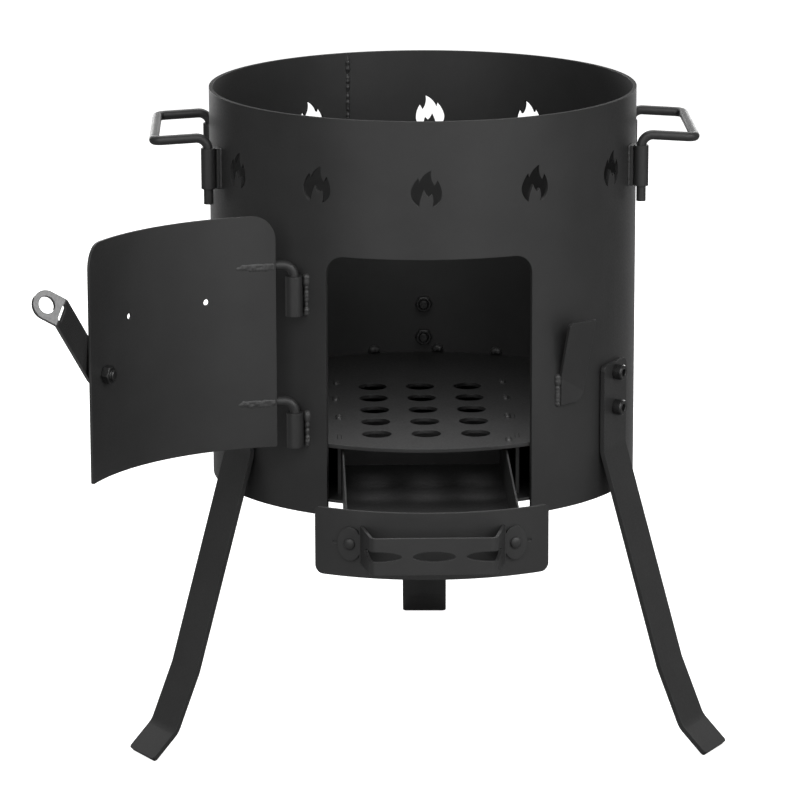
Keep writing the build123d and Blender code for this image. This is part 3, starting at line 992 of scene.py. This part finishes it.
@dataclass
class Finishes:
    """The materials of the stove, built once.

    Args:
        sheet: Matt paint on sheet and bar.
        drum: Matt paint on the drum, with painted shade on its cut faces.
        handled_and_highlit: Paint rubbed smooth on the latch lever, a touch paler, partly worn and
            partly a painted highlight.
        weld: Paint over weld metal.
        fastener: Black oxide on screws, nuts and washers.
    """

    sheet: bpy.types.Material = field(default_factory=SHEET_PAINT.material)
    drum: bpy.types.Material = field(default_factory=DRUM_PAINT.material)
    handled_and_highlit: bpy.types.Material = field(default_factory=HANDLED_AND_HIGHLIT_PAINT.material)
    weld: bpy.types.Material = field(default_factory=WELD_PAINT.material)
    fastener: bpy.types.Material = field(default_factory=BLACK_OXIDE.material)

    def dress_frame(self, nodes: dict[str, bpy.types.Object]) -> None:
        """Gives every frame node its finish.

        Args:
            nodes: The frame's nodes by name.
        """
        for name, node in nodes.items():
            finish = self.sheet
            if name == "drum_shell":
                finish = self.drum
            elif name == "latch_lever":
                finish = self.handled_and_highlit
            elif name != "drawer_handle_screws" and any(
                word in name for word in ("screw", "nut", "washer")
            ):
                finish = self.fastener
            node.data.materials.clear()
            node.data.materials.append(finish)
            log.info("%s: %s", name, finish.name)


@dataclass
class SubAssembly:
    """What every sub-assembly shares.

    Args:
        finishes: The materials.
        wall: The drum's coordinates, carried along with the sub-assembly.
    """

    finishes: Finishes
    wall: WallChart = field(default_factory=WallChart)

    def weld(self, name: str, beads: Sequence[WeldBead], seed: int, body: Body) -> None:
        """Lays one run of welds and rides it on a body.

        Args:
            name: The piece's name.
            beads: Its beads.
            seed: Seed for the ripples' sizes.
            body: The body that it moves with.
        """
        place(WeldRun(name, beads, self.finishes.weld, seed).build(), body, Slot.PAINT)

    def fasten(
        self,
        node: str,
        master: bpy.types.Mesh,
        seats: Sequence[Seat],
        body: Body,
        slot: Slot = Slot.FASTENER,
    ) -> None:
        """Sets detailed fasteners in place of a frame node's plain ones.

        Args:
            node: The frame node that they stand for.
            master: The fastener, upright at the origin.
            seats: Where the fasteners go.
            body: The body that they move with.
            slot: The record's material slot.
        """
        finish = self.finishes.sheet if slot is Slot.PAINT else self.finishes.fastener
        place(SeatedCopies(f"{node}_detail", master, seats, finish).build(), body, slot, node)


@dataclass
class Drum(SubAssembly):
    """The seam of the rolled drum, the hinge tubes' welds and the catch's weld.

    Args:
        inner_radius: Inside radius of the drum in millimetres.
        outer_radius: Outside radius.
        bottom: Height of its lower edge above the floor.
        top: Height of its rim.
        seam_azimuth: Where the sheet's ends meet.
        ground_depth: How deep the middle of the ground bead lies under the outer face.
        stitch_depth: How deep the middle of the stitches lies under the inner face.
        stitches: Lower and upper height of each stitch of weld inside the seam.
        hinge_sides: Azimuths of the welds on both sides of the hinge tubes.
        hinge_tubes: Lower and upper height of each tube.
        catch_side: Azimuth of the catch's free side.
        catch_span: Lower and upper height of the catch's weld.
    """

    inner_radius: float = 177.0
    outer_radius: float = 180.0
    bottom: float = 211.0
    top: float = 543.0
    seam_azimuth: float = -160.0
    ground_depth: float = 0.95
    stitch_depth: float = 0.9
    stitches: tuple[tuple[float, float], ...] = ((229.0, 261.0), (364.0, 414.0), (455.0, 540.0))
    hinge_sides: tuple[float, float] = (-33.7, -38.1)
    hinge_tubes: tuple[tuple[float, float], ...] = ((380.0, 410.0), (269.5, 295.5))
    catch_side: float = 36.1
    catch_span: tuple[float, float] = (301.0, 323.0)

    def build(self) -> None:
        """Makes the drum's welds."""
        ground = WeldBead(
            self.wall.upright(
                self.seam_azimuth,
                self.outer_radius - self.ground_depth,
                (self.bottom + 2, self.top - 2),
            ),
            radius=1.45,
            spacing=1.3,
            rough=0.1,
        )
        outside = WeldRun("drum_seam_ground", [ground], self.finishes.sheet, 3)
        place(outside.build(), Body.STOVE, Slot.PAINT)
        stitches = [
            WeldBead(
                self.wall.upright(self.seam_azimuth, self.inner_radius + self.stitch_depth, span),
                radius=2.2,
                spacing=2.7,
                rough=0.33,
            )
            for span in self.stitches
        ]
        inside = WeldRun("drum_seam_weld", stitches, self.finishes.sheet, 5)
        place(inside.build(), Body.STOVE, Slot.PAINT)
        hinge = [
            bead
            for azimuth in self.hinge_sides
            for span in self.hinge_tubes
            for bead in self.tacked_run(azimuth, self.outer_radius - 0.2, span)
        ]
        self.weld("hinge_tube_welds", hinge, 31, Body.STOVE)
        catch = self.tacked_run(self.catch_side, self.outer_radius + 0.2, self.catch_span)
        self.weld("catch_weld", catch, 41, Body.STOVE)

    def tacked_run(
        self, azimuth: float, radius: float, span: tuple[float, float]
    ) -> list[WeldBead]:
        """Lays a thin upright bead with a thick tack at its top and a smaller one below.

        Args:
            azimuth: Degrees from the doorway side.
            radius: Distance from the drum's axis, in millimetres.
            span: Lower and upper height, in millimetres.

        Returns:
            The beads.
        """
        low, high = span
        return [
            WeldBead(self.wall.upright(azimuth, radius, ends), reach, rough=rough)
            for ends, reach, rough in (
                ((low, high), 2.2, 0.25),
                ((high - 4.5, high), 3.2, 0.1),
                ((low, low + 2.5), 2.8, 0.1),
            )
        ]


@dataclass
class Hearth(SubAssembly):
    """The welds that hold the fire grate, its guide plates and the drum floor.

    Args:
        radius: Inside radius of the drum in millimetres.
        grate_top: Height of the grate's upper face.
        floor_underside: Height of the drum floor's lower face.
        tack_gap: How far the tacks' middles stand off the drum's wall and the floor plate.
        tacks: Azimuths of the tacks between grate and drum.
        tabs: Places of the spots of weld beside the guide plates' tabs, across and along.
        tab_half: Half the length of those spots.
        tab_depth: How deep their middles lie under the grate's upper face.
        floor_tacks: Azimuths of the tacks under the drum floor.
    """

    radius: float = 177.0
    grate_top: float = 271.0
    floor_underside: float = 221.8
    tack_gap: float = 0.6
    tacks: tuple[float, ...] = (-167.5, 174.0, 156.5, -95.0, 95.0)
    tabs: tuple[tuple[float, float], ...] = (
        (-73.5, 60.0),
        (-75.0, 0.0),
        (-73.0, -65.0),
        (70.5, 60.0),
        (70.5, 0.0),
        (69.0, -65.0),
        (66.0, -146.0),
    )
    tab_half: float = 5.0
    tab_depth: float = 1.9
    floor_tacks: tuple[float, ...] = (-150.0, -90.0, -40.0, 40.0, 90.0, 150.0)

    def build(self) -> None:
        """Makes the hearth's welds."""
        tacks = [
            WeldBead(
                [
                    self.wall.point(
                        azimuth + turn, self.radius - self.tack_gap, self.grate_top + rise
                    )
                    for turn, rise in ((-0.65, 3.2), (0.0, 4.2), (0.65, 3.2))
                ],
                radius=3.5,
                rough=0.08,
            )
            for azimuth in self.tacks
        ]
        self.weld("grate_tack_welds", tacks, 11, Body.STOVE)
        tabs = [
            WeldBead(
                [
                    Vector((x, y + along, self.grate_top - self.tab_depth)) * MM
                    for along in (-self.tab_half, self.tab_half)
                ],
                radius=3.6,
                rough=0.1,
            )
            for x, y in self.tabs
        ]
        self.weld("guide_tab_welds", tabs, 23, Body.STOVE)
        under = [
            WeldBead(
                self.wall.arc(
                    (azimuth - 3, azimuth + 3),
                    self.radius - self.tack_gap,
                    self.floor_underside - self.tack_gap,
                ),
                radius=2.2,
                rough=0.3,
            )
            for azimuth in self.floor_tacks
        ]
        self.weld("drum_floor_welds", under, 29, Body.STOVE)


@dataclass
class LegFasteners(SubAssembly):
    """The M8 socket-head cap screws and nuts that hold the three legs.

    Args:
        turns: Azimuths of the legs.
        levels: Heights of the screws above the floor in millimetres.
        leg_face: Radius of the legs' outer face.
        nut_seat: Radius of the nuts' inner face.
        flat_up: Turn that sets a flat of the hexagons upwards.
        head_radius: Radius of a screw's head to the middle of its knurl.
        knurl_height: Height of the knurl's ridges above and below that radius.
        knurl_ridges: How many ridges go round the head.
        key_width: Width across flats of the socket for the key.
    """

    turns: tuple[float, ...] = (-59.0, 59.0, 178.0)
    levels: tuple[float, ...] = (315.5, 285.5)
    leg_face: float = 184.05
    nut_seat: float = 170.2
    flat_up: float = 30.0
    head_radius: float = 6.42
    knurl_height: float = 0.07
    knurl_ridges: int = 36
    key_width: float = 6.0

    def build(self) -> None:
        """Makes the screws and the nuts."""
        head = [
            (6.2, 0.0),
            (6.35, 0.3),
            (self.knurl, 0.6),
            (self.knurl, 6.9),
            (6.2, 7.2),
            (5.75, 8.0),
            (3.7, 8.0),
            (hexagon(self.key_width, 3.3), 7.6),
            (hexagon(self.key_width), 7.3),
            (hexagon(self.key_width), 4.0),
            (0, 3.1),
        ]
        screw = MachineScrew(M8, length=16.35, bare=2.9, head=head, divisions=108)
        places = [(turn, level) for turn in self.turns for level in self.levels]
        self.fasten(
            "leg_screws",
            screw.mesh("cap_screw"),
            [self.wall.seat(turn, self.leg_face, z, self.flat_up) for turn, z in places],
            Body.STOVE,
        )
        self.fasten(
            "leg_nuts",
            M8_NUT.mesh("leg_nut"),
            [self.wall.seat(turn, self.nut_seat, z, self.flat_up) for turn, z in places],
            Body.STOVE,
        )

    def knurl(self, angle: float) -> float:
        """Finds the radius of a cap screw's knurled head at an angle.

        Args:
            angle: The angle in radians.

        Returns:
            The radius in millimetres.
        """
        return self.head_radius + self.knurl_height * math.cos(self.knurl_ridges * angle)


@dataclass
class Door(SubAssembly):
    """The fire door's hinge-rod welds and its latch pivot.

    Args:
        hinge: The hinge axis, in millimetres from the drum's axis.
        opening: How far the door stands open, in degrees.
        inner_radius: Radius of the door's inner face.
        outer_radius: Radius of its outer face.
        rod_levels: Heights of the hinge rods above the floor.
        rod_span: First and last azimuth of the rods' welds.
        rod_radius: Radius of the hinge rods.
        fillet_lift: How far the fillets' middles stand off the outer face.
        ridge_lift: How far the back ridges' middles lie outside the inner face.
        pivot_azimuth: Azimuth of the latch pivot with the door shut.
        pivot_level: Its height above the floor.
        head_seat: Radius at which its head sits.
        washer_seat: Radius at which its spacer washer starts.
        nut_seat: Radius of its nut's inner face.
        flat_up: Turn that sets a flat of its hexagons upwards.
    """

    hinge: tuple[float, float] = (-110.066, -152.061)
    opening: float = 141.2
    inner_radius: float = 181.2
    outer_radius: float = 183.2
    rod_levels: tuple[float, ...] = (420.8, 306.9)
    rod_span: tuple[float, float] = (-21.2, -30.3)
    rod_radius: float = 4.0
    fillet_lift: float = 0.9
    ridge_lift: float = 2.3
    pivot_azimuth: float = 23.4
    pivot_level: float = 355.0
    head_seat: float = 189.65
    washer_seat: float = 183.35
    nut_seat: float = 174.55
    flat_up: float = 30.0

    def __post_init__(self) -> None:
        """Swings the drum's coordinates open with the door."""
        axis = Vector((*self.hinge, 0.0)) * MM
        swing = Matrix.Rotation(math.radians(-self.opening), 4, "Z")
        self.wall = WallChart(Matrix.Translation(axis) @ swing @ Matrix.Translation(-axis))

    def build(self) -> None:
        """Makes the door's welds and pivot fasteners."""
        fillets = [
            WeldBead(
                self.wall.arc(
                    self.rod_span,
                    self.outer_radius + self.fillet_lift,
                    level + side * self.rod_radius * 0.85,
                ),
                radius=1.7,
                rough=0.25,
            )
            for level in self.rod_levels
            for side in (-1, 1)
        ]
        self.weld("hinge_rod_welds", fillets, 53, Body.DOOR)
        start, end = self.rod_span
        ridges = [
            WeldBead(
                self.wall.arc(
                    (start - inset, end), self.inner_radius + self.ridge_lift, level + rise
                ),
                radius=3.0,
                spacing=2.4,
                rough=0.12,
            )
            for level in self.rod_levels
            for rise, inset in ((-1.5, 2.6), (0.0, 0.0), (1.5, 1.3))
        ]
        self.weld("hinge_rod_back_welds", ridges, 59, Body.DOOR)
        head = [
            (5.6, 0.0),
            (5.6, 0.4),
            (hexagon(13.0), 0.4),
            *reversed(chamfered_hexagon(13.0, 5.3, -1.0)),
            (0, 5.3),
        ]
        screw = MachineScrew(M8, length=17.6, bare=2.9, head=head, divisions=48)
        for node, mesh, radius in (
            ("latch_pivot_screw", screw.mesh("pivot_screw"), self.head_seat),
            ("latch_pivot_nut", M8_NUT.mesh("pivot_nut"), self.nut_seat),
            ("latch_pivot_washer", self.washer(), self.washer_seat),
        ):
            seat = self.wall.seat(self.pivot_azimuth, radius, self.pivot_level, self.flat_up)
            self.fasten(node, mesh, [seat], Body.DOOR)

    def washer(self) -> bpy.types.Mesh:
        """Turns the thick spacer washer under the lever.

        Returns:
            The mesh, upright at the origin.
        """
        rows = [(4.08, 0.0), (7.7, 0.0), (8.0, 0.3), (8.0, 2.7), (7.7, 3.0), (4.08, 3.0)]
        return polar_mesh("pivot_washer", rows, 64, bored=True)


@dataclass
class AshDrawer(SubAssembly):
    """The ash drawer's handle fasteners and the welds between its pan and front.

    Args:
        shift: How far the drawer stands to the side, in millimetres.
        pull: How far it is pulled out.
        handle_azimuth: Azimuth of the handle's screws with the drawer shut.
        level: Height of the handle's middle above the floor.
        head_seat: Radius at which the screws' heads sit.
        nut_seat: Radius of the nuts' inner face.
        flat_up: Turn that sets a flat of the nuts upwards.
        pan_half: Half the pan's width.
        front_inside: Radius of the front plate's inner face.
        stitches: Lower and upper heights of the welds on the pan's sides.
    """

    shift: float = -3.5
    pull: float = 169.0
    handle_azimuth: float = 20.6
    level: float = 237.3
    head_seat: float = 185.5
    nut_seat: float = 176.1
    flat_up: float = 30.0
    pan_half: float = 68.0
    front_inside: float = 180.3
    stitches: tuple[tuple[float, float], ...] = ((226.5, 238.0), (250.5, 262.0))

    def __post_init__(self) -> None:
        """Pulls the drum's coordinates out with the drawer."""
        self.wall = WallChart(Matrix.Translation(Vector((self.shift, -self.pull, 0.0)) * MM))

    def build(self) -> None:
        """Makes the drawer's fasteners and welds."""
        head = [
            (4.75, 0.0),
            (4.75, 0.5),
            (4.4, 1.1),
            (3.6, 1.7),
            (2.5, 2.1),
            (1.3, 2.3),
            (0, 2.35),
        ]
        screw = MachineScrew(M5, length=11.8, bare=2.9, head=head, divisions=60)
        turns = (-self.handle_azimuth, self.handle_azimuth)
        self.fasten(
            "drawer_handle_screws",
            screw.mesh("handle_screw"),
            [self.wall.seat(turn, self.head_seat, self.level) for turn in turns],
            Body.DRAWER,
            Slot.PAINT,
        )
        self.fasten(
            "drawer_handle_nuts",
            M5_NUT.mesh("handle_nut"),
            [self.wall.seat(turn, self.nut_seat, self.level, self.flat_up) for turn in turns],
            Body.DRAWER,
        )
        azimuth = math.degrees(math.asin((self.pan_half + 0.5) / self.front_inside))
        stitches = [
            WeldBead(
                self.wall.upright(side * azimuth, self.front_inside - 0.9, span),
                radius=1.6,
                rough=0.25,
            )
            for side in (-1, 1)
            for span in self.stitches
        ]
        self.weld("pan_welds", stitches, 61, Body.DRAWER)


@dataclass
class CarrySockets(SubAssembly):
    """The welds round the pads and tubes that take the carry handles.

    Args:
        turn: Azimuth of the front pads; the rear ones mirror it.
        outer_radius: Outside radius of the drum.
        pad_half: Half a pad's width in millimetres.
        span: Lower and upper height of the pads.
    """

    turn: float = 71.59
    outer_radius: float = 180.0
    pad_half: float = 5.0
    span: tuple[float, float] = (466.8, 500.8)

    def build(self) -> None:
        """Makes the welds on both sides of every pad."""
        off = math.degrees((self.pad_half + 0.7) / self.outer_radius)
        low, high = self.span
        beads = [
            WeldBead(
                self.wall.upright(turn + edge * off, self.outer_radius + 0.6, (low + 1, high - 1)),
                radius=1.35,
                rough=0.15,
            )
            for turn in (self.turn, 180 - self.turn, -self.turn, self.turn - 180)
            for edge in (-1, 1)
        ]
        self.weld("socket_pad_welds", beads, 71, Body.STOVE)


@dataclass(frozen=True)
class Softbox:
    """One square lamp aimed at the stove, hidden from the camera.

    Args:
        name: The lamp's name.
        azimuth: Degrees from the doorway side, positive to the right.
        elevation: Degrees above the floor.
        distance: Metres from the stove.
        width: Width of the lamp in metres.
        height: Height of the lamp in metres.
        radiance: Brightness of its face.
    """

    name: str
    azimuth: float
    elevation: float
    distance: float
    width: float
    height: float
    radiance: float

    def build(self, aim: Vector) -> bpy.types.Object:
        """Hangs the lamp.

        Args:
            aim: The point that it faces.

        Returns:
            The lamp, linked to the scene.
        """
        data = bpy.data.lights.new(self.name, "AREA")
        data.shape = "RECTANGLE"
        data.size, data.size_y = self.width, self.height
        data.energy = self.radiance * math.pi * self.width * self.height
        lamp = bpy.data.objects.new(self.name, data)
        bpy.context.scene.collection.objects.link(lamp)
        turn, rise = math.radians(self.azimuth), math.radians(self.elevation)
        away = Vector(
            (math.sin(turn) * math.cos(rise), -math.cos(turn) * math.cos(rise), math.sin(rise))
        )
        lamp.location = aim + away * self.distance
        lamp.rotation_mode = "QUATERNION"
        lamp.rotation_quaternion = away.to_track_quat("Z", "Y")
        lamp.visible_camera = False
        return lamp


@dataclass
class Studio:
    """Camera, floor, world and lamps.

    Args:
        distance: Metres from the camera to its target.
        azimuth: Camera's degrees from the doorway side, positive to the right.
        elevation: Its degrees above the floor.
        roll: Its turn about its own line of sight, in degrees.
        target: The point that it faces, in metres.
        focal_pixels: Its focal length in pixels of the photograph.
        frame_pixels: Width of the photograph in pixels.
        sensor: Width of its sensor in millimetres.
        floor_size: Side of the floor in metres.
        ambient: Strength of the even light from all round.
        lamp_aim: The point that the lamps face, in metres.
        softboxes: The lamps, each with its name, azimuth, elevation, distance, width, height
            and radiance.
    """

    distance: float = 3.8205
    azimuth: float = -1.436
    elevation: float = 13.617
    roll: float = -0.165
    target: tuple[float, float, float] = (-0.0236, 0.0004, 0.2736)
    focal_pixels: float = 4463.5
    frame_pixels: float = 791.0
    sensor: float = 36.0
    floor_size: float = 30.0
    ambient: float = 0.226
    lamp_aim: tuple[float, float, float] = (0.0, 0.0, 0.3)
    softboxes: tuple[Softbox, ...] = (
        Softbox("overhead_front", 0, 45, 2.5, 1.6, 1.2, 1.8),
        Softbox("key_right", 30, 25, 2.5, 1.2, 1.4, 2.15),
        Softbox("fill_left", -30, 25, 2.5, 1.2, 1.4, 2.3),
        Softbox("spot_right", 52, 32.5, 2.5, 0.6, 0.6, 8.0),
        Softbox("side_right", 60, 10, 2.5, 0.8, 1.4, 0.85),
        Softbox("low_right", 22, 5, 2.5, 1.6, 0.6, 1.5),
        Softbox("low_left", -20, 3, 2.5, 1.6, 0.5, 1.45),
        Softbox("edge_right", 155, 15, 2.5, 0.8, 1.6, 4.9),
        Softbox("edge_left", -155, 15, 2.5, 0.8, 1.6, 5.3),
        Softbox("hair_back", 180, 40, 2.5, 1.6, 1.2, 2.3),
        Softbox("top_back", 180, 65, 2.5, 1.6, 1.6, 2.4),
    )

    def build(self) -> None:
        """Makes the whole studio."""
        self.camera()
        self.floor()
        self.world()
        for softbox in self.softboxes:
            softbox.build(Vector(self.lamp_aim))
        bpy.context.scene.view_settings.view_transform = "Standard"

    def camera(self) -> None:
        """Puts the camera where the photograph was taken from."""
        data = bpy.data.cameras.new("camera")
        data.sensor_width = self.sensor
        data.lens = self.sensor * self.focal_pixels / self.frame_pixels
        data.clip_end = 100
        camera = bpy.data.objects.new("camera", data)
        bpy.context.scene.collection.objects.link(camera)
        turn, rise = math.radians(self.azimuth), math.radians(self.elevation)
        back = Vector(
            (math.sin(turn) * math.cos(rise), -math.cos(turn) * math.cos(rise), math.sin(rise))
        )
        camera.location = Vector(self.target) + back * self.distance
        camera.rotation_mode = "QUATERNION"
        level = (-back).to_track_quat("-Z", "Y")
        camera.rotation_quaternion = level @ Quaternion((0, 0, 1), math.radians(self.roll))
        bpy.context.scene.camera = camera

    def floor(self) -> None:
        """Lays the floor just under the feet."""
        half = self.floor_size / 2
        mesh = bpy.data.meshes.new("studio_floor")
        corners = [(-half, -half, 0), (half, -half, 0), (half, half, 0), (-half, half, 0)]
        mesh.from_pydata(corners, [], [(0, 1, 2, 3)])
        mesh.materials.append(PaleFloor().material())
        floor = bpy.data.objects.new("studio_floor", mesh)
        bpy.context.scene.collection.objects.link(floor)

    def world(self) -> None:
        """Lights the object evenly and shows plain white to the camera."""
        world = bpy.data.worlds.new("studio")
        bpy.context.scene.world = world
        world.use_nodes = True
        tree = world.node_tree
        tree.nodes.clear()
        ambient = add_node(tree, "ShaderNodeBackground", {"Strength": self.ambient})
        white = add_node(tree, "ShaderNodeBackground", {"Strength": 1.0})
        for background in (ambient, white):
            background.inputs["Color"].default_value = (1, 1, 1, 1)
        path = add_node(tree, "ShaderNodeLightPath")
        mixed = add_node(
            tree,
            "ShaderNodeMixShader",
            links={
                0: path.outputs["Is Camera Ray"],
                1: ambient.outputs[0],
                2: white.outputs[0],
            },
        )
        add_node(tree, "ShaderNodeOutputWorld", links={"Surface": mixed.outputs[0]})


def main() -> None:
    """Dresses the frame, builds the added pieces and sets the studio."""
    logging.basicConfig(level=logging.INFO, format="%(name)s: %(message)s")
    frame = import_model()
    Studio().build()
    finishes = Finishes()
    finishes.dress_frame(frame["nodes"])
    for assembly in (Drum, Hearth, LegFasteners, Door, AshDrawer, CarrySockets):
        log.info("building %s", assembly.__name__)
        assembly(finishes).build()
    log.info("size file written")


if __name__ == "__main__":
    main()
